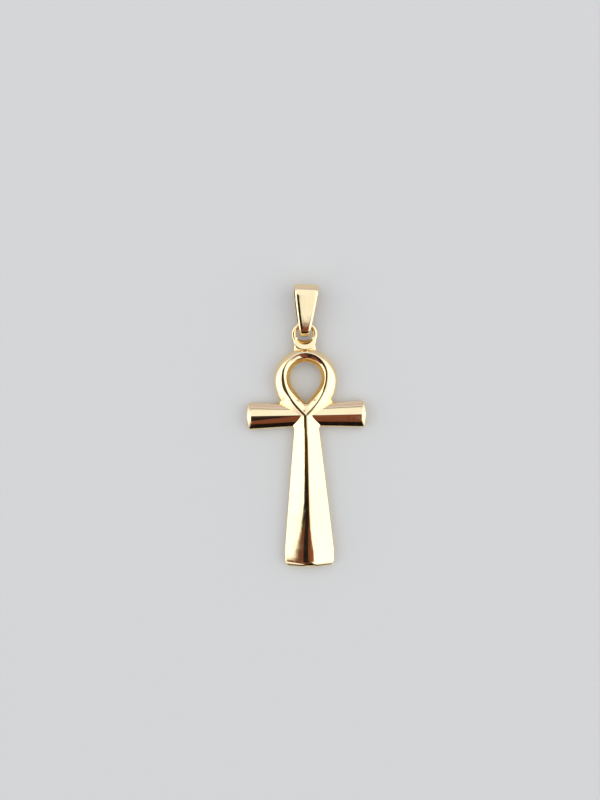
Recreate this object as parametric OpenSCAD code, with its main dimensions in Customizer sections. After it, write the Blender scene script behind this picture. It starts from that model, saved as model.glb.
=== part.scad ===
// Ankh pendant with a folded bail, lying on its flat back.
// X runs along the crossbar, Y up to the bail, Z out of the front. All sizes are in millimetres.

/* [Cross section] */
// Height of the ridge along the stem and the head
ridge_h = 2.5; // [2:0.1:3.2]
// Height of the ridge along the arms
arm_ridge_h = 2.2; // [1.8:0.1:2.4]
// Height of the side walls below the slopes
wall_h = 1.15; // [0.8:0.05:1.4]
// Softness of the ridges
ridge_r = 0.22; // [0.1:0.02:0.4]
// Bevel along the edge of the flat back
back_bevel = 0.12; // [0.05:0.01:0.2]

/* [Head] */
// Outer diameter of the round head
head_d = 9.6; // [9:0.05:11]
// Height of the head's walls below its slopes
head_wall_h = 1.65; // [1.2:0.05:1.9]
// Middle of the round head above the crossing
head_rise = 5.33; // [5:0.05:6]
// Width of the teardrop hole
hole_w = 4.8; // [4:0.1:5.4]
// Middle of the hole's round top above the crossing
hole_rise = 5.72; // [5.3:0.05:6]
// Tip of the hole above the crossing
hole_tip = 2.05; // [1.6:0.05:2.6]
// Width across the ridge that runs round the hole
ridge_w = 6.6; // [6.2:0.1:7.4]
// Middle of the ridge's round top above the crossing
ridge_rise = 6.1; // [5.7:0.05:6.3]
// Rounding of the head's outer edge
head_shoulder = 0.4; // [0.3:0.05:0.65]
// Rounding of the hole's edge
hole_shoulder = 0.6; // [0.3:0.05:0.75]
// Width of the head's outer slope where it runs down to the crossing
mitre_w = 1.95; // [1.6:0.05:2.2]

/* [Arms] */
// Length of the crossbar from tip to tip
span = 18; // [16:0.5:22]
// Width of the crossbar at the crossing
arm_root_w = 3.4; // [3:0.1:4]
// Width of the crossbar near its tips
arm_tip_w = 4.08; // [3.4:0.1:4.4]
// Rounding of the crossbar's edges
arm_shoulder = 0.75; // [0.4:0.05:0.9]
// Length of the facet at each tip
tip_facet = 0.6; // [0.2:0.05:0.8]
// Drop of the ridge over that facet
tip_drop = 0.5; // [0.2:0.05:0.7]
// Rounding of each tip's two corners
tip_corner = 0.5; // [0.1:0.05:0.5]

/* [Stem] */
// Length of the stem below the crossing
stem_len = 23.0; // [18:0.2:28]
// Width of the stem where it leaves the crossbar
stem_top_w = 3.93; // [3.4:0.05:4.4]
// Width of the foot
foot_w = 7.5; // [5.5:0.1:9]
// Length of the foot's parallel end
foot_run = 2.5; // [1:0.1:4]
// Width that is cut from each corner of the foot
foot_cut_w = 0.4; // [0.2:0.05:0.8]
// Length that is cut from each corner of the foot
foot_cut_len = 0.6; // [0.3:0.05:0.9]
// Depth of the sloping facet at the foot
foot_facet = 1.2; // [0.6:0.05:1.6]
// Rounding of the stem's edges
stem_shoulder = 0.45; // [0.3:0.05:0.8]
// Flare of the stem on each side where it meets the crossbar
stem_flare = 0.16; // [0:0.02:0.3]

/* [Eyelet] */
// Outer diameter of the eyelet
eye_d = 4.04; // [3.8:0.04:4.6]
// Diameter of the eyelet's wire
wire_d = 0.76; // [0.6:0.02:0.84]
// Height of the wire's middle
wire_h = 1.3; // [1.1:0.05:1.5]
// Gap from the head's top to the eyelet's ring, filled by its foot
eye_gap = 0.2; // [0.1:0.05:0.4]
// Width of the eyelet's foot at its waist
eye_foot_w = 3.38; // [3:0.02:3.6]
// Flare of the foot on each side where it meets the head
eye_foot_flare = 0.1; // [0:0.02:0.2]
// Thickness of the eyelet's foot
eye_foot_t = 0.7; // [0.5:0.05:0.8]

/* [Bail] */
// Length of the folded bail
bail_len = 7.85; // [7:0.1:10]
// Width of the bail at its top
bail_top_w = 3.8; // [3:0.1:4.5]
// Bulge of each side of the strip between its lower bend and its top
side_bulge = 0.09; // [0:0.01:0.16]
// Depth of the bail at its top
bail_top_t = 3.6; // [3.2:0.1:4.2]
// Thickness of the bail's strip
strip_t = 0.45; // [0.35:0.05:0.55]
// Width of the bevel along each edge of the strip's outer face
edge_bevel_w = 0.26; // [0.1:0.02:0.3]
// Depth of that bevel
edge_bevel_t = 0.14; // [0.05:0.01:0.2]
// Gap on each side between the bail and the hole of the eyelet
side_clear = 0.57; // [0.5:0.01:0.65]
// Gap between the eyelet's wire and the bail's lower bend, when the wire is in its middle
wire_clear = 0.56; // [0.45:0.02:0.7]
// Distance from the middle of the lower bend up to the wire
wire_seat = 0.6; // [0.3:0.05:0.8]
// Turn of the lying bail to the right
bail_turn = 3.2; // [0:0.2:4]
// Roll of the lying bail onto its right edge
bail_roll = 2.5; // [0:0.5:4]
// Shift of the bail to the right along the wire
bail_shift = 0.09; // [0:0.01:0.1]

/* [Hidden] */

gold = [0.87, 0.69, 0.40];

// Steps of the curves
side_steps = 16;
round_steps = 24;
bend_steps = 24;
leg_steps = 6;
shoulder_steps = 4;
wire_steps = 64;

// How far each long side of a teardrop keeps its direction, as shares of the teardrop's drop
drop_from_round = 0.40;
drop_from_tip = 0.44;
// Angle between a teardrop's axis and its side at the tip
drop_tip_angle = 46;
// Samples across a slope from the ridge to the shoulder, as shares of that distance
slope_shares = [0.08, 0.2, 0.45, 1];

// Depth of a shoulder's rounding, as a share of its width
shoulder_depth = 0.5;
// Where the rounding of a tip's corner bends, as a share of the corner
corner_bend = 1 / 3;
// Height of a tip's facet at that bend, as a share of the ridge's drop
facet_bend = 0.7;
// Drop of the wall at a tip, as a share of the ridge's drop
tip_wall_drop = 0.25;

// Height on the ridge over which the head's outer edge flares into the crossbar
notch_top = arm_root_w / 2 + 1.3;
notch_run = 0.35;
// Overlap that joins the stem's ridge to the head's
stem_overlap = 0.08;
// Length of the stem's flare below the crossbar
flare_run = 0.5;
// How far the eyelet's foot reaches into the head
foot_root = 0.5;
// Heights of the foot's waist and top below the ring's middle, as shares of the ring's radius
foot_waist = 0.88;
foot_crown = 0.5;

eye_r = (eye_d - wire_d) / 2;
eye_hole_r = eye_d / 2 - wire_d;
eye_rise = head_rise + head_d / 2 + eye_gap + eye_d / 2;
wire_rise = eye_rise + eye_r;

bail_low_w = 2 * (eye_hole_r - side_clear);
low_in_r = wire_d / 2 + wire_clear;
low_r = low_in_r + strip_t;
top_r = bail_top_t / 2;
bend_gap = bail_len - low_r - top_r;
bail_slope = asin((top_r - low_r) / bend_gap);
// The axis of the lying loop climbs by its slope, so its back leg is level
axis_run = bend_gap * cos(bail_slope);
bail_low_y = -wire_seat - low_r;
bail_top_y = axis_run - wire_seat + top_r;
rest_half_w = bail_half_w(axis_run - wire_seat) - edge_bevel_w;
bail_lift = rest_half_w * sin(bail_roll) - wire_h * (1 - cos(bail_roll));

// The origin is under the middle of the whole pendant's box
top_corner = (bail_top_w / 2 - edge_bevel_w) * cos(bail_roll) - (top_r - wire_h) * sin(bail_roll);
top_y = wire_rise + bail_top_y * cos(bail_turn) + top_corner * sin(bail_turn);
middle_y = (top_y - stem_len) / 2;

function bail_half_w(y) =
    let (t = (y - bail_low_y) / (bail_top_y - bail_low_y))
    (bail_low_w + (bail_top_w - bail_low_w) * t) / 2 + 4 * side_bulge * t * (1 - t);

function bezier(a, b, c, d, t) =
    a * pow(1 - t, 3) + b * 3 * t * pow(1 - t, 2) + c * 3 * t * t * (1 - t) + d * pow(t, 3);

// Right side of a teardrop, from its tip up to its widest point
function drop_side(w, rise, tip) =
    let (drop = rise - tip)
    let (lead = drop * drop_from_tip)
    let (near_tip = [lead * sin(drop_tip_angle), tip + lead * cos(drop_tip_angle)])
    let (near_round = [w / 2, rise - drop * drop_from_round])
    [for (i = [0 : side_steps - 1]) bezier([0, tip], near_tip, near_round, [w / 2, rise], i / side_steps)];

// Teardrop with a round top, once round from its tip
function teardrop(w, rise, tip) =
    let (side = drop_side(w, rise, tip))
    let (top = [for (i = [0 : round_steps]) let (a = 180 * i / round_steps) [w / 2 * cos(a), rise + w / 2 * sin(a)]])
    concat(side, top, [for (i = [side_steps - 1 : -1 : 1]) [-side[i].x, side[i].y]]);

function unit(v) = v / norm(v);

// Half of a section, from the ridge to the back: distance from the ridge, and height
function half_section(w, h, wall, shoulder) =
    let (flat = w - shoulder)
    let (fall = (h - wall) / (norm([w, ridge_r]) - ridge_r))
    let (start = [flat, h - fall * (norm([flat, ridge_r]) - ridge_r)])
    let (corner = [w, wall])
    let (end = [w, wall - shoulder * shoulder_depth])
    concat(
        [for (s = slope_shares) let (d = s * flat) [d, h - fall * (norm([d, ridge_r]) - ridge_r)]],
        [for (i = [1 : shoulder_steps]) let (t = i / shoulder_steps)
            start * pow(1 - t, 2) + corner * 2 * t * (1 - t) + end * t * t],
        [[w, back_bevel], [w - back_bevel, 0]]
    );

function reversed(list) = [for (i = [len(list) - 1 : -1 : 0]) list[i]];

// Section that is the same on both sides of its ridge: distance to the right of the ridge, and height
function full_section(w, h, wall, shoulder) =
    let (half = half_section(w, h, wall, shoulder))
    concat([for (p = reversed(half)) [-p.x, p.y]], [[0, h]], half);

// Joins sections, each a ring of points, into one solid; a closed run joins its last section to its first
module skin_of(rings, closed) {
    n = len(rings);
    m = len(rings[0]);
    points = [for (ring = rings) for (p = ring) p];
    sides = [for (i = [0 : (closed ? n - 1 : n - 2)]) for (j = [0 : m - 1])
        let (a = i * m + j, b = i * m + (j + 1) % m)
        let (c = ((i + 1) % n) * m + (j + 1) % m, d = ((i + 1) % n) * m + j)
        each [[a, b, c], [a, c, d]]];
    caps = closed ? [] : [
        [for (j = [m - 1 : -1 : 0]) j],
        [for (j = [0 : m - 1]) (n - 1) * m + j]
    ];
    polyhedron(points = points, faces = concat(sides, caps));
}

// Distance from a point on the ridge, along its outward direction, to the head's round outline
function to_outline(p, out) =
    let (q = p - [0, head_rise])
    let (along = q * out)
    sqrt(along * along - q * q + head_d * head_d / 4) - along;

// Ring of the head: a ridge loop with a slope down to the hole and one down to the outline
module head() {
    ridge = teardrop(ridge_w, ridge_rise, 0);
    hole = teardrop(hole_w, hole_rise, hole_tip);
    n = len(ridge);
    rings = [for (i = [0 : n - 1])
        let (p = ridge[i])
        let (chord = ridge[(i + 1) % n] - ridge[(i + n - 1) % n])
        let (out = unit([chord.y, -chord.x]))
        let (flare = min(max((notch_top - p.y) / notch_run, 0), 1))
        let (outer_w = to_outline(p, out) * (1 - flare) + mitre_w * flare)
        let (outer_wall = head_wall_h * (1 - flare) + wall_h * flare)
        let (in = unit(hole[i] - p))
        let (inner = half_section(norm(hole[i] - p), ridge_h, head_wall_h, hole_shoulder))
        let (outer = half_section(outer_w, ridge_h, outer_wall, head_shoulder))
        concat(
            [for (s = reversed(outer)) [p.x + out.x * s.x, p.y + out.y * s.x, s.y]],
            [[p.x, p.y, ridge_h]],
            [for (s = inner) [p.x + in.x * s.x, p.y + in.y * s.x, s.y]]
        )];
    skin_of(rings, true);
}

// Crossbar: a ridged bar that widens to its tips, with a facet and rounded corners at each
module arms() {
    tip = span / 2;
    bend = tip_corner * corner_bend;
    // Columns: distance from the crossing, half width, height of the ridge, height of the wall
    stations = [
        [0, arm_root_w / 2, arm_ridge_h, wall_h],
        [tip - tip_facet, arm_tip_w / 2, arm_ridge_h, wall_h],
        [tip - bend, arm_tip_w / 2 - bend, arm_ridge_h - tip_drop * facet_bend, wall_h],
        [tip, arm_tip_w / 2 - tip_corner, arm_ridge_h - tip_drop, wall_h - tip_drop * tip_wall_drop]
    ];
    right = [for (s = stations) station_ring(s, s[0])];
    left = [for (i = [len(stations) - 1 : -1 : 1]) station_ring(stations[i], -stations[i][0])];
    skin_of(concat(left, right), false);
}

function station_ring(s, x) =
    [for (p = full_section(s[1], s[2], s[3], arm_shoulder)) [x, p.x, p.y]];

// Stem: a ridged bar that widens to its foot, with cut corners and a sloping facet at its end
module stem() {
    root = arm_root_w / 2;
    // Columns: distance below the crossing, half width
    stations = [
        [-stem_overlap, stem_top_w / 2 + stem_flare],
        [root, stem_top_w / 2 + stem_flare],
        [root + flare_run, stem_top_w / 2],
        [stem_len - foot_run, foot_w / 2],
        [stem_len - foot_cut_len, foot_w / 2],
        [stem_len, foot_w / 2 - foot_cut_w]
    ];
    facet_angle = atan((ridge_h - wall_h) / foot_facet);
    difference() {
        skin_of([for (s = stations)
            [for (p = full_section(s[1], ridge_h, wall_h, stem_shoulder)) [p.x, -s[0], p.y]]], false);
        translate([0, -stem_len, wall_h])
            rotate([facet_angle, 0, 0])
                translate([-foot_w, -foot_w, 0])
                    cube([2 * foot_w, 2 * foot_w, foot_w]);
    }
}

// Eyelet: a round wire ring that is fixed to the head by a flared foot
module eyelet() {
    foot_low = head_rise + head_d / 2 - foot_root;
    translate([0, eye_rise, wire_h])
        rotate_extrude($fn = wire_steps)
            translate([eye_r, 0])
                circle(d = wire_d, $fn = wire_steps / 2);
    translate([0, 0, wire_h - eye_foot_t / 2])
        difference() {
            linear_extrude(eye_foot_t)
                polygon([
                    [-eye_foot_w / 2 - eye_foot_flare, foot_low],
                    [eye_foot_w / 2 + eye_foot_flare, foot_low],
                    [eye_foot_w / 2, eye_rise - eye_r * foot_waist],
                    [eye_r, eye_rise - eye_r * foot_crown],
                    [-eye_r, eye_rise - eye_r * foot_crown],
                    [-eye_foot_w / 2, eye_rise - eye_r * foot_waist]
                ]);
            translate([0, eye_rise, -eye_foot_t])
                cylinder(r = eye_r, h = 3 * eye_foot_t, $fn = wire_steps);
        }
}

module ankh() {
    color(gold)
        translate([0, -middle_y, 0])
            union() {
                head();
                arms();
                stem();
                eyelet();
            }
}

// Point of the folded strip: bend, direction and distance from the bend's middle, side, and inset from the edge
function strip_point(bend, a, r, side, inset) =
    let (out = -r * cos(a), along = bend + r * sin(a))
    let (y = along * cos(bail_slope) - out * sin(bail_slope) - wire_seat)
    let (z = along * sin(bail_slope) + out * cos(bail_slope) + low_r - wire_h)
    [side * (bail_half_w(y) - inset), y, z];

// Section across the strip, with a bevel along each edge of its outer face
function strip_ring(bend, a, r) = [
    strip_point(bend, a, r - strip_t, -1, 0),
    strip_point(bend, a, r - edge_bevel_t, -1, 0),
    strip_point(bend, a, r, -1, edge_bevel_w),
    strip_point(bend, a, r, 1, edge_bevel_w),
    strip_point(bend, a, r - edge_bevel_t, 1, 0),
    strip_point(bend, a, r - strip_t, 1, 0)
];

// Section of a straight leg at a share of its length from the lower bend
function leg_ring(share, a) = strip_ring(bend_gap * share, a, low_r + (top_r - low_r) * share);

// Bail: a tapered strip folded into a closed loop, which hangs on the eyelet's wire
module bail() {
    top_arc = 180 + 2 * bail_slope;
    low_arc = 360 - top_arc;
    back_a = -bail_slope;
    front_a = 180 + bail_slope;
    rings = concat(
        [for (i = [1 : leg_steps - 1]) leg_ring(i / leg_steps, back_a)],
        [for (i = [0 : bend_steps]) strip_ring(bend_gap, back_a + top_arc * i / bend_steps, top_r)],
        [for (i = [1 : leg_steps - 1]) leg_ring(1 - i / leg_steps, front_a)],
        [for (i = [0 : bend_steps]) strip_ring(0, front_a + low_arc * i / bend_steps, low_r)]
    );
    color(gold)
        translate([bail_shift, wire_rise - middle_y, wire_h + bail_lift])
            rotate([0, bail_roll, -bail_turn])
                skin_of(rings, true);
}

ankh();
bail();
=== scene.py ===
"""Ankh pendant with a folded bail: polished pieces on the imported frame, with a camera and a soft studio."""
import math

import bmesh
import bpy
from bpy.props import FloatProperty, FloatVectorProperty, PointerProperty
from mathutils import Matrix, Vector


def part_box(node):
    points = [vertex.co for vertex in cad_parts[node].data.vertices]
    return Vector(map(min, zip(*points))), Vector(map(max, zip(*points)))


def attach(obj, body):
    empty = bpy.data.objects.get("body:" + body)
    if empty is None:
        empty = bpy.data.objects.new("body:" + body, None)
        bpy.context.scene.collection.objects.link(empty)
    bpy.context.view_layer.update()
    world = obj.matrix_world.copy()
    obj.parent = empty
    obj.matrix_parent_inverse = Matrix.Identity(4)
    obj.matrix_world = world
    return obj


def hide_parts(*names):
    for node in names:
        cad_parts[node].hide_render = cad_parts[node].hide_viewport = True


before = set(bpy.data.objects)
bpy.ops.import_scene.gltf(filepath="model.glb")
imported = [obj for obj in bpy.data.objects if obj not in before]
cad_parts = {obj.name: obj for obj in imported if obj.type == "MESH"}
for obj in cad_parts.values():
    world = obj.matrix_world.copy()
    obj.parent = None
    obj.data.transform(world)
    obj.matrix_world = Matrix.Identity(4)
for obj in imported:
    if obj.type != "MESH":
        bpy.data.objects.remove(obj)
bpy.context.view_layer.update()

bl_info = {
    "name": "Ankh pendant",
    "version": (1, 0, 0),
    "blender": (4, 5, 0),
    "location": "View3D > Sidebar > Pendant",
    "description": "Builds an ankh pendant with a folded bail, its gold and its studio",
    "category": "Object",
}

MM = 0.001
ACROSS = Vector((1, 0, 0))
UP = Vector((0, 0, 1))

# Steps of the curves and sections
SIDE_STEPS = 48
ROUND_STEPS = 96
SLOPE_STEPS = 26
SHOULDER_STEPS = 8
HOLE_STEPS = 22
BEVEL_STEPS = 3
CORNER_STEPS = 6
END_STEPS = 40
WIRE_STEPS = 96
TUBE_STEPS = 32
POST_STEPS = 16
WEB_STEPS = 12
FLOOR_STEPS = 96
BEND_STEPS = 72
LEG_STEPS = 16
FINE_STEPS = 8
FLARE_STEPS = 6
STEM_STEPS = 12
EDGE_STEPS = 6

# Edges that are bent more than this are shaded sharp
SHARP_ANGLE = math.radians(31)
# Points that lie nearer than this are merged
MERGE = 1e-8

# Teardrop: how far each side keeps its direction from both ends, as shares of its drop, and the tip's angle
DROP_FROM_TIP = 0.44
DROP_FROM_ROUND = 0.40
DROP_TIP_ANGLE = math.radians(46)

# Sections: crowding of the steps towards the ridge, depth of a shoulder as a share of its width, and distance
# of the loops that hold the shading beside a rounded edge
RIDGE_CROWDING = 1.7
SHOULDER_DEPTH = 0.55
EDGE_LOOP = 0.03 * MM

# Slope to the hole: steepest fall of its gentle part as a share of the width, whole fall of that part, angle
# of the steep band, and length of the bend between them
GENTLE_STEEPEST = 0.577
GENTLE_FALL = 0.52 * MM
BAND_ANGLE = math.radians(52)
BAND_BEND = 0.2 * MM
# Rounding at the hole's edge: inset of its upper loop, and drops of the loops below it
HOLE_EDGE_IN = 0.015 * MM
HOLE_EDGE_DROP = 0.05 * MM
HOLE_WALL_DROP = 0.06 * MM

# Notch between the head and the crossbar: its top above the crossbar's edge, the height over which the head's
# wall flares below it, and the rounding of the flared edge
NOTCH_RISE = 1.43 * MM
NOTCH_RUN = 0.3 * MM
FLARE_SHOULDER = 0.06 * MM
# Height above the notch where the head's convex shape begins to fade, the run of that fade, and its share
FADE_RISE = 1.3 * MM
FADE_RUN = 1.6 * MM
FADE_SHARE = 0.9

# Valley between the hole's tip and the crossing: half width, lower end, margin to the tip and the ridge, and
# rounds of smoothing
VALLEY_W = 0.75 * MM
VALLEY_LOW = 0.35 * MM
VALLEY_MARGIN = 0.05 * MM
VALLEY_ROUNDS = 14

# Distance of the section that keeps the start of a tip's facet crisp
FACET_LOOP = 0.04 * MM

# Stem: overlap with the head's ridge, and length of the flare below the crossbar
STEM_OVERLAP = 0.08 * MM
FLARE_RUN = 0.5 * MM
# Where its ridge is sharpest, and the run below that over which it softens, as shares of the stem's length
SOFT_MIDDLE = 0.56
SOFT_RUN = 0.3
# Fine sections at the foot: their run as a share of the facet, and their crowding towards the end
FOOT_REACH = 1.1
FOOT_CROWDING = 1.6
# Facet at the foot: lift above the ridge, slope, and softness of its upper edge and of its sides
CAP_LIFT = 0.04 * MM
CAP_SLOPE = 0.36
CAP_SOFT = 0.12 * MM
CAP_BLEND = 0.06 * MM
# Share of the rolled foot's drop that is left at its walls, and the height below which nothing is rolled, in
# back bevels
ROLL_AT_WALL = 0.35
ROLL_FROM = 3

# Where the eyelet's wire starts to thicken, as a share of the ring's radius below its middle
COLLAR_START = 0.35
# Web between the ring and the head: inset of its ends, reach into the head, and depth of its underside
WEB_INSET = 0.3 * MM
WEB_REACH = 0.45 * MM
WEB_DEPTH = 0.3 * MM
# Height of the web's face above the wire's middle at the head, and its fall up to the ring
WEB_TOP = 0.46 * MM
WEB_FALL = 0.26 * MM
# Posts of the eyelet: height of their waist and of their tops below the ring's middle and their distance from
# it, as shares of the ring's radius, and their reach into the head
POST_WAIST = 0.88
POST_CROWN = 0.3
POST_OUT = 1.02
POST_REACH = 0.5 * MM
# Thickness of a post at its waist as a share of the wire, and how much is added where it meets the head
POST_THICK = 0.9
POST_FLARE = 0.25

# Edges of the bail's strip: slope of the bevel, mean slope of the rounding beside it, and the width of the
# flat loop beside that
BEVEL_SLOPE = math.radians(36)
ROUND_SLOPE = math.radians(11)
FLAT_LOOP = 0.15 * MM
# Points from the bevel to the strip's side: inset in millimetres, share of the bevel's drop, and further drop
# in millimetres
OUTER_EDGE = ((0.06, 0.72, 0), (0.015, 1, 0), (0, 1, 0.05))
# Points from that side to the strip's inner face: inset, and height above that face, in millimetres
INNER_EDGE = ((0, 0.06), (0.02, 0.015), (0.07, 0))

# Section of the eyelet where it meets the head, in millimetres from the wire's middle: outwards and up
COLLAR = (
    (0.85, 0), (0.78, 0.56), (0.34, 0.5), (-0.08, 0.38), (-0.64, -0.2), (-0.6, -0.42), (0, -0.5), (0.6, -0.42)
)

# Glowing sheets beside the lens, which only the gold mirrors: painted reflections, dark, brown and olive. For
# each: its colour, how far it hangs below the lens in millimetres, and its corners across and along the
# picture, as shares of the lens's height
REFLECTION_SHEETS = {
    "brown_flag": ("reflection_brown", 0, (
        (0.05, -0.10), (0.30, -0.115), (0.33, -0.41), (0.50, -0.46), (0.70, -0.52), (0.66, -0.60),
        (0.30, -0.66), (0.31, -1.0), (0.34, -1.5), (0.40, -2.0), (-0.70, -2.0), (-0.82, -1.5),
        (-1.12, -1.2), (-1.25, -1.0), (-1.15, -0.72), (-0.95, -0.63), (-0.95, -0.53), (-0.91, -0.477),
        (-0.73, -0.414), (0.05, -0.414),
    )),
    "dark_flag": ("reflection_dark", 0.5, (
        (-0.97, 0.36), (-0.38, 0.38), (-0.10, 0.24), (0.05, 0.22), (0.05, -0.41), (0.0, -0.50),
        (-0.03, -0.86), (-0.19, -1.30), (-0.30, -1.25), (-0.35, -0.72), (-0.93, -0.64), (-0.97, -0.3),
    )),
    "olive_flag": ("reflection_olive", 1, (
        (-0.97, 0.36), (-0.38, 0.38), (-0.27, 0.33), (-0.27, -0.25), (-0.97, -0.25),
    )),
    "left_flag": ("reflection_brown", 1, (
        (-0.73, -0.414), (-0.91, -0.477), (-0.95, -0.53), (-0.97, -0.66), (-0.75, -0.66), (-0.74, -0.43),
    )),
    "right_flag": ("reflection_brown", 1, (
        (-0.245, -0.41), (0.06, -0.40), (0.06, -0.56), (-0.245, -0.56),
    )),
}
# How much brighter a sheet's painted streaks are than its colour, and their grain across and along it per
# metre
REFLECTION_STREAK_CONTRAST = 1.9
REFLECTION_STREAK_GRAIN = (6, 46)

# Gap between the floor and the pendant, and width of the camera's sensor in millimetres
FLOOR_GAP = 0.01 * MM
SENSOR_W = 36

# Colours of the sky: all round, at both sides, low down, low beyond the foot, and of the streaks and the line
# beyond the head
WHITE = (1.04, 1.15, 1.36)
BRIGHT = (1.8, 1.95, 2.1)
GREY = (0.70, 0.67, 0.91)
BLACK = (0.010, 0.008, 0.008)
STREAK = (0.26, 0.22, 0.23)
LINE = (0.10, 0.08, 0.08)
# Grain of those streaks across the sky and up it
SKY_GRAIN = (1.6, 26)

# Grain of the gold's patches, worn spots, waves and scratches, in features per metre
PATCH_GRAIN = 260
WORN_GRAIN = 900
WAVE_GRAIN = 420
SCRATCH_GRAIN = 14000
# Shrinking of the scratches along their length, their lean in radians, and their depth
SCRATCH_STRETCH = 0.06
SCRATCH_LEAN = 0.5
SCRATCH_DEPTH = 0.02 * MM
# Strengths of the warm patches and of the shade painted at the pit, and the pit's middle as a share of its
# radius
PATCH_SHARE = 0.5
PIT_SHADE_SHARE = 0.8
PIT_MIDDLE = 0.4


def length(name, description, millimetres):
    """A length that a user may change, kept in metres."""
    return FloatProperty(
        name=name, description=description, default=millimetres * MM, unit="LENGTH", precision=5
    )


def angle(name, description, degrees):
    """An angle that a user may change, kept in radians."""
    return FloatProperty(
        name=name, description=description, default=math.radians(degrees), subtype="ANGLE"
    )


def share(name, description, value):
    """A share from 0 to 1."""
    return FloatProperty(
        name=name, description=description, default=value, min=0, max=1, subtype="FACTOR"
    )


def colour(name, description, value):
    """A linear colour."""
    return FloatVectorProperty(
        name=name, description=description, default=value, size=3, min=0, max=4, subtype="COLOR"
    )


class AnkhSizes(bpy.types.PropertyGroup):
    """Sizes of the ankh: the main ones are those of the part's source, and the roundings are finer"""

    ridge_h: length("Ridge height", "Height of the ridge along the stem and the head", 2.5)
    arm_ridge_h: length("Arm ridge height", "Height of the ridge along the arms", 2.2)
    wall_h: length("Wall height", "Height of the side walls below the slopes", 1.15)
    back_bevel: length("Back bevel", "Rounding along the edge of the flat back", 0.12)

    head_d: length("Head diameter", "Outer diameter of the round head", 9.6)
    head_wall_h: length("Head wall height", "Height of the head's walls below its slopes", 1.65)
    head_rise: length("Head rise", "Middle of the head above the crossing", 5.33)
    hole_w: length("Hole width", "Width of the teardrop hole", 4.8)
    hole_rise: length("Hole rise", "Middle of the hole's round top above the crossing", 5.72)
    hole_tip: length("Hole tip", "Tip of the hole above the crossing", 2.05)
    ridge_w: length("Ridge width", "Width across the ridge that runs round the hole", 6.6)
    ridge_rise: length("Ridge rise", "Middle of the ridge's round top above the crossing", 6.1)
    head_shoulder: length("Head shoulder", "Rounding of the head's outer edge", 0.4)
    hole_band: length("Hole band", "Width of the steep band round the hole", 0.56)
    hole_soft: length("Hole ridge softness", "Softness of the ridge on the side of the hole", 0.26)
    mitre_w: length("Mitre width", "Width of the outer slope where it runs down to the crossing", 1.95)
    head_soft: length("Head ridge softness", "Softness of the ridge round the hole", 0.35)
    head_crown: share("Head crown", "How much of the head's fall comes from its convex shape", 0.5)

    span: length("Span", "Length of the crossbar from tip to tip", 18)
    arm_root_w: length("Arm root width", "Width of the crossbar at the crossing", 3.4)
    arm_tip_w: length("Arm tip width", "Width of the crossbar near its tips", 4.08)
    arm_shoulder: length("Arm shoulder", "Rounding of the crossbar's edges", 0.35)
    tip_facet: length("Tip facet", "Length of the facet at each tip", 0.6)
    tip_drop: length("Tip drop", "Drop of the ridge over that facet", 0.38)
    tip_corner: length("Tip corner", "Rounding of each tip's two corners", 0.5)
    arm_soft: length("Arm ridge softness", "Softness of the ridge along the arms", 0.1)
    arm_crown: share("Arm crown", "How much of the arms' fall comes from their convex shape", 0.5)

    stem_len: length("Stem length", "Length of the stem below the crossing", 23)
    stem_top_w: length("Stem top width", "Width of the stem where it leaves the crossbar", 3.93)
    foot_w: length("Foot width", "Width of the foot", 7.5)
    foot_run: length("Foot run", "Length of the foot's parallel end", 2.5)
    foot_cut_w: length("Foot cut width", "Width that is cut from each corner of the foot", 0.5)
    foot_cut_len: length("Foot cut length", "Length that is cut from each corner of the foot", 0.95)
    foot_facet: length("Foot facet", "Length of the facet at the end of the foot", 1.15)
    foot_roll: length("Foot roll", "Length of the rounding at its very end", 0.8)
    foot_drop: length("Foot drop", "Drop of the ridge over that rounding", 0.55)
    stem_shoulder: length("Stem shoulder", "Rounding of the stem's edges", 0.17)
    stem_flare: length("Stem flare", "Flare of the stem where it meets the crossbar", 0.16)
    stem_wall_top: length("Stem wall above", "Height of the stem's walls at the crossing", 1.35)
    stem_soft_top: length("Ridge softness above", "Softness of the stem's ridge at the crossing", 0.57)
    stem_soft_mid: length("Ridge softness halfway", "Softness of the stem's ridge halfway down", 0.32)
    stem_soft_foot: length("Ridge softness below", "Softness of the stem's ridge at the foot", 0.63)

    eye_d: length("Eyelet diameter", "Outer diameter of the eyelet", 4.04)
    wire_d: length("Wire diameter", "Diameter of the eyelet's wire", 0.76)
    wire_h: length("Wire height", "Height of the wire's middle", 1.3)
    eye_gap: length("Eyelet gap", "Gap from the head to the ring, filled by the foot", 0.2)
    eye_foot_w: length("Eyelet foot width", "Width of the eyelet's foot at its waist", 3.38)
    eye_foot_flare: length("Eyelet foot flare", "Flare of the foot where it meets the head", 0.1)


class BailSizes(bpy.types.PropertyGroup):
    """Sizes of the folded bail: those of the part's source, with a finer edge"""

    bail_len: length("Bail length", "Length of the folded bail", 7.85)
    top_w: length("Top width", "Width of the bail at its top", 3.8)
    side_bulge: length("Side bulge", "Bulge of each side between the lower bend and the top", 0.09)
    top_t: length("Top depth", "Depth of the bail at its top", 3.6)
    strip_t: length("Strip thickness", "Thickness of the bail's strip", 0.45)
    edge_round: length("Edge rounding", "Rounding beside each edge of the outer face", 0.26)
    edge_bevel: length("Edge bevel", "Width of the bevel along each edge of the outer face", 0.17)
    side_clear: length("Side clearance", "Gap between the bail and the eyelet's hole on each side", 0.57)
    wire_clear: length("Wire clearance", "Gap between the wire and the lower bend", 0.56)
    wire_seat: length("Wire seat", "Distance from the middle of the lower bend up to the wire", 0.6)
    bail_shift: length("Bail shift", "Shift of the bail to the right along the wire", 0.09)
    bail_turn: angle("Bail turn", "Turn of the lying bail to the right", 3.2)
    bail_roll: angle("Bail roll", "Roll of the lying bail onto its right edge", 2.5)
    bevel_cad: length("Bevel in the source", "Width of the bevel in the part's source", 0.26)


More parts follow.
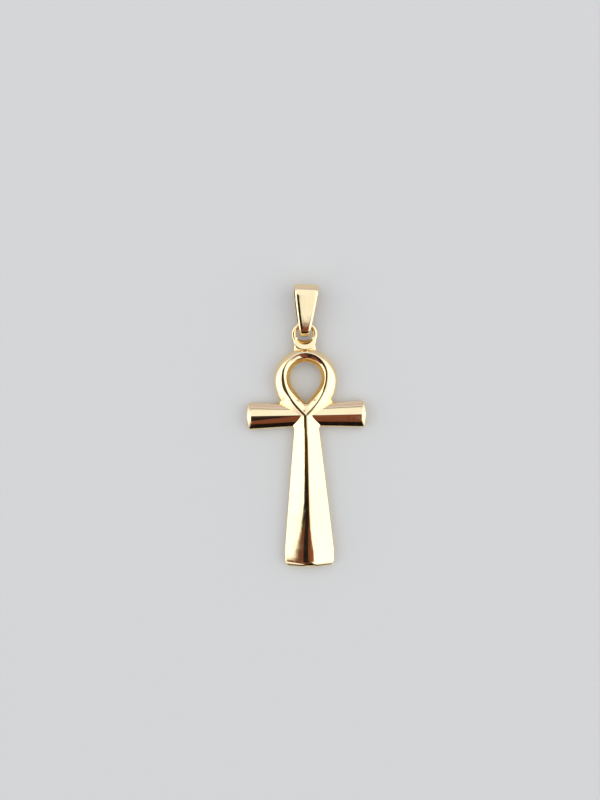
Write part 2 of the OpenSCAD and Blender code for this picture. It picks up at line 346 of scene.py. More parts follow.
class GoldLook(bpy.types.PropertyGroup):
    """Colours and finish of the polished gold"""

    tint: colour("Gold", "Colour of the clean gold", (0.98, 0.77, 0.43))
    warm: colour("Warm gold", "Colour of the slightly warmer patches", (0.95, 0.71, 0.37))
    gloss: share("Roughness", "Roughness of the polished gold", 0.07)
    gloss_change: share("Roughness change", "How far the roughness rises in worn patches", 0.06)
    wave_h: length("Waves", "Height of the slow waves that hand polishing leaves", 0.012)
    scratch: share("Scratches", "Strength of the fine polishing scratches", 0.05)
    pit_x: length("Pit across", "Place of the tiny casting pit across the pendant", -0.3)
    pit_y: length("Pit along", "Place of the pit above the crossing", 0.72)
    pit_r: length("Pit radius", "Radius of the pit's soft edge", 0.27)
    # Painted shade at the pit, whose hollow is not modelled
    pit_shade_tint: colour("Pit", "Colour of the shade painted at the pit", (0.45, 0.24, 0.08))


class StudioLook(bpy.types.PropertyGroup):
    """Camera and light"""

    camera_h: length("Camera height", "Height of the camera above the surface", 93.4)
    camera_x: length("Camera place across", "Place of the camera across the pendant", -0.921)
    camera_y: length("Camera place along", "Place of the camera above the crossing", 2.3495)
    camera_turn: angle("Camera turn", "Turn of the camera about its own axis", -1.3)
    lens: FloatProperty(name="Lens", description="Focal length in millimetres", default=27.18)
    floor_r: length("Floor radius", "Radius of the round floor", 600)
    floor_tint: colour("Floor", "Colour of the pale floor", (0.56, 0.52, 0.46))
    backdrop: colour("Backdrop", "Colour behind the floor", (0.86, 0.86, 0.85))
    # Colours of the glowing sheets beside the lens, which paint the dark, brown and olive reflections in the
    # gold
    reflection_dark: colour("Dark flag", "Colour of the dark sheet beside the lens, seen only as a painted reflection", BLACK)
    reflection_brown: colour("Brown flag", "Colour of the brown reflection sheet below it", (0.145, 0.052, 0.034))
    reflection_olive: colour("Olive flag", "Colour of the olive reflection sheet on its left", (0.052, 0.036, 0.011))


class Number:
    """A number in a shader. Python's operators on it add its Math nodes."""

    def __init__(self, nodes, socket):
        self.nodes = nodes
        self.socket = socket

    def maths(self, operation, *values):
        """Adds one Math node on these values."""
        node = self.nodes.make("Math", {"operation": operation}, dict(enumerate(values)))
        return Number(self.nodes, node.outputs[0])

    def __add__(self, other):
        return self.maths("ADD", self, other)

    def __radd__(self, other):
        return self.maths("ADD", other, self)

    def __sub__(self, other):
        return self.maths("SUBTRACT", self, other)

    def __rsub__(self, other):
        return self.maths("SUBTRACT", other, self)

    def __mul__(self, other):
        return self.maths("MULTIPLY", self, other)

    def __rmul__(self, other):
        return self.maths("MULTIPLY", other, self)

    def __truediv__(self, other):
        return self.maths("DIVIDE", self, other)

    def __rtruediv__(self, other):
        return self.maths("DIVIDE", other, self)

    def __abs__(self):
        return self.maths("ABSOLUTE", self)

    def at_least(self, other):
        """The larger of this number and another."""
        return self.maths("MAXIMUM", self, other)

    def rise(self, low, high):
        """0 at low and 1 at high, with a soft step between; low may be the larger one."""
        node = self.nodes.make(
            "MapRange",
            {"interpolation_type": "SMOOTHSTEP"},
            {"Value": self, "From Min": low, "From Max": high},
        )
        return Number(self.nodes, node.outputs["Result"])


class Nodes:
    """Makes the nodes of one tree."""

    def __init__(self, tree):
        self.tree = tree
        tree.nodes.clear()

    def make(self, kind, settings=None, sockets=None):
        """Adds a node of a type, with its settings and the values or links of its sockets."""
        node = self.tree.nodes.new("ShaderNode" + kind)
        for name, value in (settings or {}).items():
            setattr(node, name, value)
        for name, value in (sockets or {}).items():
            self.put(value, node.inputs[name])
        return node

    def put(self, value, socket):
        """Links a value to a socket, or sets it there."""
        if isinstance(value, Number):
            value = value.socket
        if isinstance(value, bpy.types.NodeSocket):
            self.tree.links.new(value, socket)
        elif socket.type == "RGBA" and len(value) == 3:
            socket.default_value = (*value, 1)
        else:
            socket.default_value = value

    def split(self, vector):
        """The three numbers of a vector."""
        node = self.make("SeparateXYZ", sockets={"Vector": vector})
        return [Number(self, node.outputs[axis]) for axis in "XYZ"]

    def mix(self, share_of_b, a, b):
        """Colour from a to b."""
        node = self.make("Mix", {"data_type": "RGBA"}, {0: share_of_b, 6: a, 7: b})
        return node.outputs[2]

    def noise(self, vector, scale, detail, distortion=0.0):
        """Soft noise about 0.5, as a number that changes over a vector."""
        node = self.make(
            "TexNoise",
            sockets={"Vector": vector, "Scale": scale, "Detail": detail, "Distortion": distortion},
        )
        return Number(self, node.outputs["Fac"])


def crossing_y(ankh):
    """Where the crossbar's ridge meets the stem's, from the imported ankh's box."""
    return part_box("ankh")[0].y + ankh.stem_len


def ease(value):
    """Soft step from 0 to 1 as the value goes from 0 to 1."""
    value = min(max(value, 0), 1)
    return value * value * (3 - 2 * value)


def bezier(a, b, c, d, t):
    """Point on a curve from a to d, which leaves and arrives in line with b and c."""
    return a * (1 - t) ** 3 + b * 3 * t * (1 - t) ** 2 + c * 3 * t * t * (1 - t) + d * t**3


def teardrop(width, rise, tip):
    """Outline with a round top, once round from its tip, to the right first."""
    drop = rise - tip
    lead = DROP_FROM_TIP * drop
    points = (
        Vector((0, tip)),
        Vector((lead * math.sin(DROP_TIP_ANGLE), tip + lead * math.cos(DROP_TIP_ANGLE))),
        Vector((width / 2, rise - DROP_FROM_ROUND * drop)),
        Vector((width / 2, rise)),
    )
    side = [bezier(*points, i / SIDE_STEPS) for i in range(SIDE_STEPS)]
    top = []
    for i in range(ROUND_STEPS + 1):
        turn = math.pi * i / ROUND_STEPS
        top.append(Vector((width / 2 * math.cos(turn), rise + width / 2 * math.sin(turn))))
    return side + top + [Vector((-p.x, p.y)) for p in reversed(side[1:])]


def half_profile(width, ridge, wall, shoulder, crown, softness, bevel):
    """Half of a section, from beside the ridge to the back: distance from the ridge, and height."""
    flat = width - shoulder
    fall = ridge - wall
    whole = math.hypot(width, softness) - softness

    def height(d):
        straight = (math.hypot(d, softness) - softness) / whole
        return ridge - fall * ((1 - crown) * straight + crown * (d / width) ** 2)

    straight_part = (1 - crown) * flat / math.hypot(flat, softness) / whole
    steepness = fall * (straight_part + crown * 2 * flat / width**2)
    points = []
    for i in range(1, SLOPE_STEPS + 1):
        d = flat * (i / SLOPE_STEPS) ** RIDGE_CROWDING
        points.append(Vector((d, height(d))))
    start = points[-1]
    corner = Vector((width, start.y - steepness * shoulder))
    end = Vector((width, corner.y - shoulder * SHOULDER_DEPTH))
    for i in range(1, SHOULDER_STEPS + 1):
        t = i / SHOULDER_STEPS
        points.append(start * (1 - t) ** 2 + corner * 2 * t * (1 - t) + end * t * t)
    return points + rounded_foot(width, end.y, bevel)


def rounded_foot(width, top, bevel):
    """Wall of a section from its top edge down to the rounded edge of the flat back."""
    points = [Vector((width, top - EDGE_LOOP)), Vector((width, bevel + EDGE_LOOP))]
    for i in range(BEVEL_STEPS + 1):
        turn = math.pi / 2 * i / BEVEL_STEPS
        points.append(Vector((width - bevel * (1 - math.cos(turn)), bevel * (1 - math.sin(turn)))))
    return points + [Vector((width - bevel - EDGE_LOOP, 0))]


def hole_profile(width, ridge, steep_w, softness, bevel):
    """Half of the head's section towards the hole: a gentle slope, a steep band, and the hole's wall."""
    gentle_w = width - steep_w
    gentle = min(GENTLE_STEEPEST, GENTLE_FALL / gentle_w)
    steep = math.tan(BAND_ANGLE)
    points = []
    height = ridge
    count = HOLE_STEPS * FINE_STEPS
    for i in range(1, count + 1):
        d = (i - 0.5) / count * width
        turn = ease((d - gentle_w) / BAND_BEND + 0.5)
        height -= (gentle * d / math.hypot(d, softness) * (1 - turn) + steep * turn) * width / count
        if i % FINE_STEPS == 0:
            points.append(Vector((i / count * width, height)))
    points[-1].x = width - HOLE_EDGE_IN
    points.append(Vector((width, height - HOLE_EDGE_DROP)))
    return points + rounded_foot(width, height - HOLE_WALL_DROP, bevel)


def full_profile(width, ridge, *rest):
    """Section that is the same on both sides of its ridge."""
    half = half_profile(width, ridge, *rest)
    return [Vector((-p.x, p.y)) for p in reversed(half)] + [Vector((0, ridge))] + half


def sweep(bm, rings, closed):
    """Skins a run of rings by extruding the first one from place to place."""
    ring = [bm.verts.new(p) for p in rings[0]]
    edges = [bm.edges.new((ring[i - 1], ring[i])) for i in range(len(ring))]
    first = edges
    for points in rings[1:] + rings[:1] * closed:
        new = bmesh.ops.extrude_edge_only(bm, edges=edges)["geom"]
        fresh = {v for v in new if isinstance(v, bmesh.types.BMVert)}
        edges = [e for e in new if isinstance(e, bmesh.types.BMEdge) and fresh.issuperset(e.verts)]
        moved = []
        for v, p in zip(ring, points):
            partner = next(e.other_vert(v) for e in v.link_edges if e.other_vert(v) in fresh)
            partner.co = p
            moved.append(partner)
        ring = moved
    if not closed:
        for rim in (first, edges):
            bmesh.ops.contextual_create(bm, geom=rim)


def head_rings(ankh):
    """Sections of the head: from the back of its outer wall over the ridge to the back of the hole's wall."""
    ridge = teardrop(ankh.ridge_w, ankh.ridge_rise, 0)
    hole = teardrop(ankh.hole_w, ankh.hole_rise, ankh.hole_tip)
    notch_top = ankh.arm_root_w / 2 + NOTCH_RISE
    middle = Vector((0, ankh.head_rise))
    rings = []
    for i, p in enumerate(ridge):
        chord = ridge[(i + 1) % len(ridge)] - ridge[i - 1]
        out = Vector((chord.y, -chord.x)).normalized()
        along = (p - middle).dot(out)
        to_outline = math.sqrt(along**2 - (p - middle).length_squared + (ankh.head_d / 2) ** 2) - along
        flare = ease((notch_top - p.y) / NOTCH_RUN)
        outer_w = to_outline * (1 - flare) + ankh.mitre_w * flare
        outer_wall = ankh.head_wall_h * (1 - flare) + ankh.wall_h * flare
        shoulder = ankh.head_shoulder * (1 - flare) + FLARE_SHOULDER * flare
        crown = ankh.head_crown * (1 - FADE_SHARE * ease((notch_top + FADE_RISE - p.y) / FADE_RUN))
        outer = half_profile(
            outer_w, ankh.ridge_h, outer_wall, shoulder, crown, ankh.head_soft, ankh.back_bevel
        )
        inner = hole_profile(
            (hole[i] - p).length, ankh.ridge_h, ankh.hole_band, ankh.hole_soft, ankh.back_bevel
        )
        inward = (hole[i] - p).normalized()
        ring = [(*(p + out * s.x), s.y) for s in reversed(outer)]
        ring.append((*p, ankh.ridge_h))
        ring += [(*(p + inward * s.x), s.y) for s in inner]
        rings.append(ring)
    return rings


def soften_valley(bm, ankh):
    """Rounds the crease between the hole's tip and the crossing."""
    valley = [
        v
        for v in bm.verts
        if abs(v.co.x) < VALLEY_W
        and VALLEY_LOW < v.co.y < ankh.hole_tip - VALLEY_MARGIN
        and ankh.wall_h < v.co.z < ankh.ridge_h - VALLEY_MARGIN
    ]
    for _ in range(VALLEY_ROUNDS):
        bmesh.ops.smooth_vert(
            bm, verts=valley, factor=0.5, use_axis_x=True, use_axis_y=True, use_axis_z=True
        )


def arm_rings(ankh):
    """Sections of the crossbar from its left tip to its right one."""
    tip = ankh.span / 2
    facet = tip - ankh.tip_facet
    # Stations: place along the crossbar, half width, and height of the ridge
    stations = [(0, ankh.arm_root_w / 2, ankh.arm_ridge_h)]
    stations += [(x, ankh.arm_tip_w / 2, ankh.arm_ridge_h) for x in (facet - FACET_LOOP, facet)]
    for i in range(CORNER_STEPS + 1):
        turn = math.pi / 2 * i / CORNER_STEPS
        x = tip - ankh.tip_corner * (1 - math.sin(turn))
        half = ankh.arm_tip_w / 2 - ankh.tip_corner * (1 - math.cos(turn))
        drop = ankh.tip_drop * (x - tip + ankh.tip_facet) / ankh.tip_facet
        stations.append((x, half, ankh.arm_ridge_h - drop))
    stations = [(-x, half, ridge) for x, half, ridge in reversed(stations[1:])] + stations
    rings = []
    for x, half, ridge in stations:
        section = full_profile(
            half, ridge, ankh.wall_h, ankh.arm_shoulder, ankh.arm_crown, ankh.arm_soft, ankh.back_bevel
        )
        rings.append([(x, s.x, s.y) for s in section])
    return rings


def soft_min(a, b, blend):
    """The lower of two heights, with a round transition."""
    near = max(blend - abs(a - b), 0) / blend
    return min(a, b) - near * near * blend / 4


def stem_rings(ankh):
    """Sections of the stem from the crossing down to its foot, whose end is rounded over."""
    root = ankh.arm_root_w / 2
    top = ankh.stem_top_w / 2
    foot = ankh.foot_w / 2
    foot_start = ankh.stem_len - ankh.foot_run
    # Stations: distance below the crossing, and half width
    stations = [(-STEM_OVERLAP, top + ankh.stem_flare), (root, top + ankh.stem_flare)]
    for i in range(1, FLARE_STEPS + 1):
        t = i / FLARE_STEPS
        stations.append((root + FLARE_RUN * t, top + ankh.stem_flare * (1 - t) ** 2))
    for i in range(1, STEM_STEPS + 1):
        t = i / STEM_STEPS
        stations.append((root + FLARE_RUN + (foot_start - root - FLARE_RUN) * t, top + (foot - top) * t))
    for i in range(END_STEPS + 1):
        left = ankh.foot_facet * (1 - i / END_STEPS) ** FOOT_CROWDING * FOOT_REACH
        cut = max(ankh.foot_cut_len - left, 0) / ankh.foot_cut_len
        stations.append((ankh.stem_len - left, foot - ankh.foot_cut_w * cut * cut))
    rings = []
    for down, half in stations:
        along = min(max((down - root) / (ankh.stem_len - root), 0), 1)
        wall = ankh.stem_wall_top + (ankh.wall_h - ankh.stem_wall_top) * along
        section = full_profile(
            half, ankh.ridge_h, wall, ankh.stem_shoulder, 0, stem_softness(ankh, along), ankh.back_bevel
        )
        left = ankh.stem_len - down
        if left < ankh.foot_facet * FOOT_REACH:
            section = rolled_section(ankh, section, left)
        rings.append([(s.x, -down, s.y) for s in section])
    return rings


def stem_softness(ankh, along):
    """Softness of the stem's ridge at a share of its length below the crossbar."""
    if along < SOFT_MIDDLE:
        return ankh.stem_soft_top + (ankh.stem_soft_mid - ankh.stem_soft_top) * along / SOFT_MIDDLE
    below = min((along - SOFT_MIDDLE) / SOFT_RUN, 1)
    return ankh.stem_soft_mid + (ankh.stem_soft_foot - ankh.stem_soft_mid) * below


def rolled_section(ankh, section, left):
    """Section near the foot's end, cut down by its facet and rolled over, most of all at its ridge."""
    into = max(ankh.foot_facet - left, 0)
    roll = max(1 - left / ankh.foot_roll, 0)
    drop = ankh.foot_drop * (1 - math.sqrt(1 - roll * roll))
    cap = ankh.ridge_h + CAP_LIFT - CAP_SLOPE * (math.hypot(into, CAP_SOFT) - CAP_SOFT)
    rolled = []
    for s in section:
        height = s.y
        if height > ROLL_FROM * ankh.back_bevel:
            height = soft_min(height, cap, CAP_BLEND)
            above_wall = max(height - ankh.wall_h, 0) / (ankh.ridge_h - ankh.wall_h)
            height -= drop * (ROLL_AT_WALL + (1 - ROLL_AT_WALL) * above_wall)
        rolled.append(Vector((s.x, height)))
    return rolled


def circle_ring(middle, across, up, radius):
    """Points of a round section about a middle, in the plane of two directions."""
    points = []
    for i in range(TUBE_STEPS):
        turn = math.tau * i / TUBE_STEPS
        points.append(middle + across * (radius * math.cos(turn)) + up * (radius * math.sin(turn)))
    return points


def smooth_loop(points, steps):
    """Closed smooth curve through a few points, with a number of steps from each to the next."""
    curve = []
    for i, b in enumerate(points):
        a = points[i - 1]
        c = points[(i + 1) % len(points)]
        d = points[(i + 2) % len(points)]
        for step in range(steps):
            t = step / steps
            curve.append(bezier(b, b + (c - a) / 6, c - (d - b) / 6, c, t))
    return curve


def add_eyelet(bm, ankh):
    """Adds the eyelet: its wire ring, and the web and the two posts that carry it."""
    add_wire_ring(bm, ankh)
    add_web(bm, ankh)
    add_posts(bm, ankh)


def ring_radius(ankh):
    """Radius of the middle of the eyelet's wire."""
    return (ankh.eye_d - ankh.wire_d) / 2


def ring_rise(ankh):
    """Middle of the eyelet above the crossing."""
    return ankh.head_rise + ankh.head_d / 2 + ankh.eye_gap + ankh.eye_d / 2


def add_wire_ring(bm, ankh):
    """Adds the wire ring, which thickens towards the head."""
    ring_r = ring_radius(ankh)
    middle = Vector((0, ring_rise(ankh), ankh.wire_h))
    collar = smooth_loop([Vector(p) * MM for p in COLLAR], TUBE_STEPS // len(COLLAR))
    rings = []
    for i in range(WIRE_STEPS):
        turn = math.tau * i / WIRE_STEPS
        out = Vector((math.cos(turn), math.sin(turn), 0))
        thick = ease((-out.y - COLLAR_START) / (1 - COLLAR_START))
        wire = circle_ring(middle + out * ring_r, out, UP, ankh.wire_d / 2)
        ring = []
        for p, q in zip(wire, collar):
            low = middle + out * (ring_r + q.x) + UP * q.y
            ring.append(p.lerp(low, thick))
        rings.append(ring)
    sweep(bm, rings, True)


def add_web(bm, ankh):
    """Adds the web that fills the place between the ring and the head."""
    ring_r = ring_radius(ankh)
    rise = ring_rise(ankh)
    rings = []
    for i in range(WEB_STEPS + 1):
        x = (2 * i / WEB_STEPS - 1) * (ankh.eye_foot_w / 2 - WEB_INSET)
        top_y = rise - math.sqrt(ring_r**2 - x * x)
        low_y = ankh.head_rise + math.sqrt((ankh.head_d / 2) ** 2 - x * x) - WEB_REACH
        ring = [(x, top_y, ankh.wire_h - WEB_DEPTH), (x, low_y, ankh.wire_h - WEB_DEPTH)]
        for step in range(WEB_STEPS + 1):
            t = step / WEB_STEPS
            height = ankh.wire_h + WEB_TOP - WEB_FALL * t * t
            ring.append((x, low_y + (top_y - low_y) * t, height))
        rings.append(ring)
    sweep(bm, rings, False)


def add_posts(bm, ankh):
    """Adds the two posts that run from the ring's sides into the head and flare where they meet it."""
    ring_r = ring_radius(ankh)
    rise = ring_rise(ankh)
    head_top = ankh.head_rise + ankh.head_d / 2
    waist = rise - ring_r * POST_WAIST
    crown = rise - ring_r * POST_CROWN
    for side in (-1, 1):
        rings = []
        for i in range(POST_STEPS + 1):
            y = crown + (head_top - POST_REACH - crown) * i / POST_STEPS
            flare = max(waist - y, 0) / (waist - head_top)
            half = min(ankh.eye_foot_w / 2, ring_r * POST_OUT + ankh.wire_d / 2)
            half += ankh.eye_foot_flare * flare**2
            radius = ankh.wire_d / 2 * (POST_THICK + POST_FLARE * flare**2)
            place = Vector((side * (half - radius), y, ankh.wire_h))
            rings.append(circle_ring(place, ACROSS, UP, radius))
        sweep(bm, rings, False)


def new_object(bm, name, material):
    """Turns a bmesh into an object of the scene, with one material."""
    mesh = bpy.data.meshes.new(name)
    bm.to_mesh(mesh)
    bm.free()
    mesh.materials.append(material)
    made = bpy.data.objects.new(name, mesh)
    bpy.context.scene.collection.objects.link(made)
    return made


def finish_piece(bm, name, body, node, material, place):
    """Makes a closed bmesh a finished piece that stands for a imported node."""
    bmesh.ops.remove_doubles(bm, verts=bm.verts[:], dist=MERGE)
    bmesh.ops.recalc_face_normals(bm, faces=bm.faces[:])
    bmesh.ops.transform(bm, matrix=place, verts=bm.verts[:])
    piece = new_object(bm, name, material)
    piece.data.shade_smooth()
    piece.data.set_sharp_from_angle(angle=SHARP_ANGLE)
    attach(piece, body)
    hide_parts(node)


class BailLoop:
    """Sizes of the bail's loop, worked out from those of the bail and the eyelet"""

    def __init__(self, ankh, bail):
        self.low_r = ankh.wire_d / 2 + bail.wire_clear + bail.strip_t
        self.top_r = bail.top_t / 2
        self.gap = bail.bail_len - self.low_r - self.top_r
        self.slope = math.asin((self.top_r - self.low_r) / self.gap)
        # Places along the bail, from the wire's middle
        self.low_y = -bail.wire_seat - self.low_r
        self.bend_y = self.gap * math.cos(self.slope) - bail.wire_seat
        self.top_y = self.bend_y + self.top_r
        self.low_w = 2 * (ankh.eye_d / 2 - ankh.wire_d - bail.side_clear)
        self.top_w = bail.top_w
        self.bulge = bail.side_bulge

    def half_width(self, y):
        """Half the strip's width at a place along the bail."""
        t = (y - self.low_y) / (self.top_y - self.low_y)
        return (self.low_w + (self.top_w - self.low_w) * t) / 2 + 4 * self.bulge * t * (1 - t)


def strip_profile(bail):
    """Half of the strip's section: inset from its edge, and depth below its outer face."""
    bevel_drop = bail.edge_bevel * math.tan(BEVEL_SLOPE)
    round_drop = bail.edge_round * math.tan(ROUND_SLOPE)
    half = [(bail.edge_bevel + bail.edge_round + FLAT_LOOP, 0)]
    for i in range(1, EDGE_STEPS + 1):
        t = i / EDGE_STEPS
        half.append((bail.edge_bevel + bail.edge_round * (1 - t), round_drop * t * t))
    for inset, part, further in OUTER_EDGE:
        half.append((inset * MM, round_drop + bevel_drop * part + further * MM))
    for inset, rise in INNER_EDGE:
        half.append((inset * MM, bail.strip_t - rise * MM))
    return half


def bail_rings(ankh, bail):
    """Sections of the strip all the way round its loop, about the wire's middle."""
    loop = BailLoop(ankh, bail)
    half = strip_profile(bail)

    def point(bend, turn, radius, side, inset):
        out = -radius * math.cos(turn)
        along = bend + radius * math.sin(turn)
        y = along * math.cos(loop.slope) - out * math.sin(loop.slope) - bail.wire_seat
        z = along * math.sin(loop.slope) + out * math.cos(loop.slope) + loop.low_r - ankh.wire_h
        return (side * (loop.half_width(y) - inset), y, z)

    def ring(bend, turn, radius):
        left = [point(bend, turn, radius - depth, -1, inset) for inset, depth in reversed(half)]
        right = [point(bend, turn, radius - depth, 1, inset) for inset, depth in half]
        return left + right

    def leg(t, turn):
        return ring(loop.gap * t, turn, loop.low_r + (loop.top_r - loop.low_r) * t)

    def bend_rings(bend, start, arc, radius):
        return [ring(bend, start + arc * i / BEND_STEPS, radius) for i in range(BEND_STEPS + 1)]

    back = -loop.slope
    front = math.pi + loop.slope
    top_arc = math.pi + 2 * loop.slope
    rings = [leg(i / LEG_STEPS, back) for i in range(1, LEG_STEPS)]
    rings += bend_rings(loop.gap, back, top_arc, loop.top_r)
    rings += [leg(1 - i / LEG_STEPS, front) for i in range(1, LEG_STEPS)]
    rings += bend_rings(0, front, math.tau - top_arc, loop.low_r)
    return rings


def bail_place(ankh, bail):
    """Where the lying bail is: on the wire, turned a little and rolled onto its right edge."""
    wire_rise = ankh.head_rise + ankh.head_d / 2 + ankh.eye_gap + ankh.eye_d - ankh.wire_d / 2
    loop = BailLoop(ankh, bail)
    half = loop.half_width(loop.bend_y)
    lift = (half - bail.bevel_cad) * math.sin(bail.bail_roll)
    lift -= ankh.wire_h * (1 - math.cos(bail.bail_roll))
    place = Matrix.Translation((bail.bail_shift, crossing_y(ankh) + wire_rise, ankh.wire_h + lift))
    return place @ Matrix.Rotation(-bail.bail_turn, 4, "Z") @ Matrix.Rotation(bail.bail_roll, 4, "Y")


def new_material(name):
    """An empty material, and the maker of its nodes."""
    material = bpy.data.materials.new(name)
    material.use_nodes = True
    return material, Nodes(material.node_tree)


def gold_material(look, ankh):
    """Polished gold with faint warm patches, worn spots, fine polishing scratches and painted shade at one
    casting pit.
    """
    found = bpy.data.materials.get("polished_gold")
    if found:
        return found
    material, nodes = new_material("polished_gold")
    place = nodes.make("TexCoord").outputs["Object"]
    patches = nodes.noise(place, PATCH_GRAIN, 3).rise(0.4, 0.68)
    worn = nodes.noise(place, WORN_GRAIN, 4, 0.4).rise(0.45, 0.75)
    lines = nodes.make(
        "Mapping",
        sockets={"Vector": place, "Scale": (1, SCRATCH_STRETCH, 1), "Rotation": (0, 0, SCRATCH_LEAN)},
    )
    scratches = nodes.noise(lines.outputs["Vector"], SCRATCH_GRAIN, 2)
    waves = nodes.make(
        "Bump",
        sockets={"Strength": 1.0, "Distance": look.wave_h, "Height": nodes.noise(place, WAVE_GRAIN, 1)},
    )
    bump = nodes.make(
        "Bump",
        sockets={
            "Strength": look.scratch,
            "Distance": SCRATCH_DEPTH,
            "Height": scratches,
            "Normal": waves.outputs["Normal"],
        },
    )
    # Painted shade: a dark spot where the casting pit is stands in for the shade in its hollow, which is not
    # modelled
    pit_place = (look.pit_x, crossing_y(ankh) + look.pit_y, ankh.ridge_h)
    away = nodes.make("VectorMath", {"operation": "DISTANCE"}, {0: place, 1: pit_place}).outputs["Value"]
    pit = Number(nodes, away).rise(look.pit_r, look.pit_r * PIT_MIDDLE)
    clean = nodes.mix(patches * PATCH_SHARE, look.tint, look.warm)
    gold = nodes.make(
        "BsdfPrincipled",
        sockets={
            "Base Color": nodes.mix(pit * PIT_SHADE_SHARE, clean, look.pit_shade_tint),
            "Metallic": 1.0,
            "Roughness": worn * look.gloss_change + look.gloss,
            "Normal": bump.outputs["Normal"],
        },
    )
    nodes.make("OutputMaterial", sockets={"Surface": gold.outputs["BSDF"]})
    return material


def floor_material(look):
    """Plain matt pale floor."""
    material, nodes = new_material("pale_floor")
    paint = nodes.make("BsdfPrincipled", sockets={"Base Color": look.floor_tint, "Roughness": 0.9})
    nodes.make("OutputMaterial", sockets={"Surface": paint.outputs["BSDF"]})
    return material


def light_studio(look):
    """Sky of soft white, whose darker parts lie low, so that mostly the gold's slopes mirror them."""
    world = bpy.data.worlds.new("studio")
    bpy.context.scene.world = world
    world.use_nodes = True
    nodes = Nodes(world.node_tree)
    # The three parts of a direction: across and along the pendant, and up
    x, y, z = nodes.split(nodes.make("TexCoord").outputs["Generated"])

    # Brighter panels at both sides
    sides = abs(x).rise(0.45, 0.62) * (1 - abs(y).rise(0.45, 0.8)) * z.rise(0.12, 0.25)
    light = nodes.mix(sides, WHITE, BRIGHT)
    # Grey low down, apart from both sides above the horizon and the corner right of the foot
    far = z.rise(0.52, 0.38) * (1 - abs(x).rise(0.6, 0.85) * z.rise(0.08, 0.16))
    far = far * (1 - x.rise(0.25, 0.45) * y.rise(-0.2, -0.4))
    light = nodes.mix(far, light, GREY)
    # A black band low beyond the foot
    lean = y / z.at_least(0.02)
    low = (0 - lean).rise(1.5, 1.9) * (1 - abs(x).rise(0.45, 0.65))
    light = nodes.mix(low, light, BLACK)
    # Dark streaks low beyond the head, and one line above them
    across, up = SKY_GRAIN
    stretched = nodes.make("CombineXYZ", sockets={"X": x * across, "Y": 0.0, "Z": z * up})
    streaks = nodes.noise(stretched.outputs["Vector"], 1, 3, 0.3).rise(0.5, 0.62)
    streaks = streaks * y.rise(0.3, 0.6) * z.rise(0.04, 0.12) * z.rise(0.54, 0.37)
    light = nodes.mix(streaks * 0.7, light, STREAK)
    edge = z.rise(0.45, 0.485) * z.rise(0.55, 0.505) * y.rise(0.3, 0.6)
    light = nodes.mix(edge * 0.75, light, LINE)

    seen = Number(nodes, nodes.make("LightPath").outputs["Is Camera Ray"])
    shown = nodes.mix(seen, light, look.backdrop)
    sky = nodes.make("Background", sockets={"Color": shown, "Strength": 1.0})
    nodes.make("OutputWorld", sockets={"Surface": sky.outputs["Background"]})


def reflection_sheet_material(name, tint):
    """Glowing sheet with soft streaks of a brighter tint, which paints a reflection in the gold."""
    material, nodes = new_material(name)
    x, y, _ = nodes.split(nodes.make("TexCoord").outputs["Object"])
    across, along = REFLECTION_STREAK_GRAIN
    stretched = nodes.make("CombineXYZ", sockets={"X": x * across, "Y": y * along, "Z": 0.0})
    streaks = nodes.noise(stretched.outputs["Vector"], 1, 3, 0.4).rise(0.35, 0.7)
    bright = [value * REFLECTION_STREAK_CONTRAST for value in tint]
    glow = nodes.make("Emission", sockets={"Color": nodes.mix(streaks, tint, bright), "Strength": 1.0})
    nodes.make("OutputMaterial", sockets={"Surface": glow.outputs["Emission"]})
    return material


def hang_reflection_sheet(name, corners, tint, drop, camera):
    """Hangs a glowing sheet by the lens, a painted reflection seen only in the gold. Corners are shares of
    the height.
    """
    height = camera.matrix_basis.translation.z
    bm = bmesh.new()
    bm.faces.new([bm.verts.new((across * height, along * height, -drop)) for across, along in corners])
    bm.transform(camera.matrix_basis)
    flag = new_object(bm, name, reflection_sheet_material(name, tint))
    # Painted reflection: the sheet is seen only in the gold's mirror, lights nothing and casts no shadow
    flag.visible_camera = False
    flag.visible_diffuse = False
    flag.visible_shadow = False


class PENDANT_OT_ankh(bpy.types.Operator):
    """Build the ankh: head, crossbar, stem and eyelet"""

    bl_idname = "pendant.ankh"
    bl_label = "Ankh"

    def execute(self, context):
        ankh = context.scene.ankh_sizes
        bm = bmesh.new()
        sweep(bm, head_rings(ankh), True)
        bmesh.ops.remove_doubles(bm, verts=bm.verts[:], dist=MERGE)
        soften_valley(bm, ankh)
        sweep(bm, stem_rings(ankh), False)
        sweep(bm, arm_rings(ankh), False)
        add_eyelet(bm, ankh)
        place = Matrix.Translation((0, crossing_y(ankh), 0))
        material = gold_material(context.scene.gold_look, ankh)
        finish_piece(bm, "gold_ankh", "ankh", "ankh", material, place)
        return {"FINISHED"}


class PENDANT_OT_bail(bpy.types.Operator):
    """Build the folded bail on the eyelet's wire"""

    bl_idname = "pendant.bail"
    bl_label = "Bail"

    def execute(self, context):
        ankh = context.scene.ankh_sizes
        bail = context.scene.bail_sizes
        bm = bmesh.new()
        sweep(bm, bail_rings(ankh, bail), True)
        material = gold_material(context.scene.gold_look, ankh)
        finish_piece(bm, "gold_bail", "bail", "bail", material, bail_place(ankh, bail))
        return {"FINISHED"}


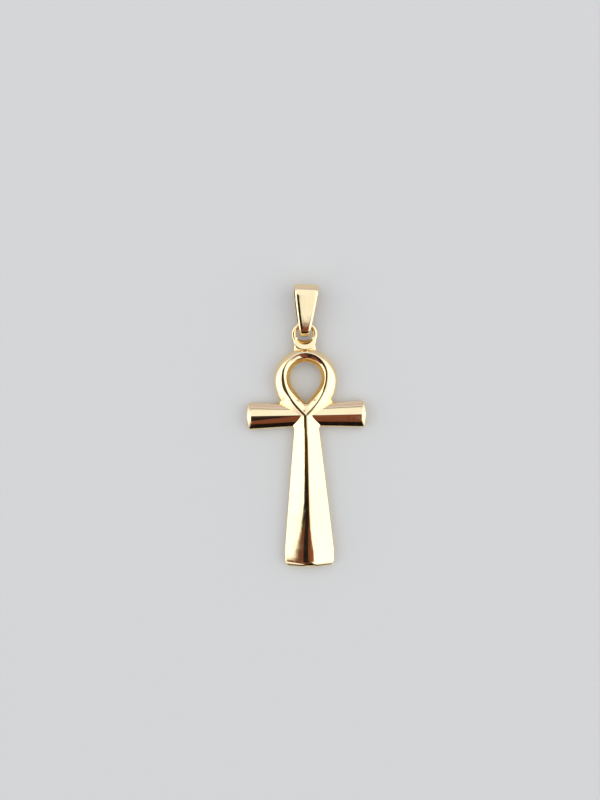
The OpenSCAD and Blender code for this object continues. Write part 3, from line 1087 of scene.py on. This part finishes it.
class PENDANT_OT_stage(bpy.types.Operator):
    """Set the floor, the light, the camera and the glowing sheets that paint reflections in the gold"""

    bl_idname = "pendant.stage"
    bl_label = "Stage"

    def execute(self, context):
        scene = context.scene
        look = scene.studio_look
        bm = bmesh.new()
        bmesh.ops.create_circle(bm, cap_ends=True, segments=FLOOR_STEPS, radius=look.floor_r)
        bmesh.ops.translate(bm, verts=bm.verts[:], vec=(0, 0, -FLOOR_GAP))
        floor = new_object(bm, "floor", floor_material(look))

        light_studio(look)
        scene.view_settings.view_transform = "Standard"

        lens = bpy.data.cameras.new("camera")
        lens.sensor_width = SENSOR_W
        lens.lens = look.lens
        lens.clip_start = MM
        camera = bpy.data.objects.new("camera", lens)
        camera.location = (look.camera_x, crossing_y(scene.ankh_sizes) + look.camera_y, look.camera_h)
        camera.rotation_euler = (0, 0, look.camera_turn)
        scene.collection.objects.link(camera)
        scene.camera = camera
        # Glowing sheets beside the lens: painted reflections of dark and brown surroundings, seen only in the
        # gold
        for name, (tint, drop, corners) in REFLECTION_SHEETS.items():
            hang_reflection_sheet(name, corners, getattr(look, tint), drop * MM, camera)
        return {"FINISHED"}


class PENDANT_PT_panel(bpy.types.Panel):
    """Lists the steps that build the pendant"""

    bl_label = "Ankh pendant"
    bl_space_type = "VIEW_3D"
    bl_region_type = "UI"
    bl_category = "Pendant"

    def draw(self, context):
        for operator in OPERATORS:
            self.layout.operator(operator.bl_idname)


GROUPS = {
    "ankh_sizes": AnkhSizes,
    "bail_sizes": BailSizes,
    "gold_look": GoldLook,
    "studio_look": StudioLook,
}
OPERATORS = (PENDANT_OT_ankh, PENDANT_OT_bail, PENDANT_OT_stage)
CLASSES = (*GROUPS.values(), *OPERATORS, PENDANT_PT_panel)


def register():
    for kind in CLASSES:
        bpy.utils.register_class(kind)
    for name, group in GROUPS.items():
        setattr(bpy.types.Scene, name, PointerProperty(type=group))


def unregister():
    for name in GROUPS:
        delattr(bpy.types.Scene, name)
    for kind in reversed(CLASSES):
        bpy.utils.unregister_class(kind)


def main():
    register()
    bpy.ops.pendant.ankh()
    bpy.ops.pendant.bail()
    bpy.ops.pendant.stage()


if __name__ == "__main__":
    main()
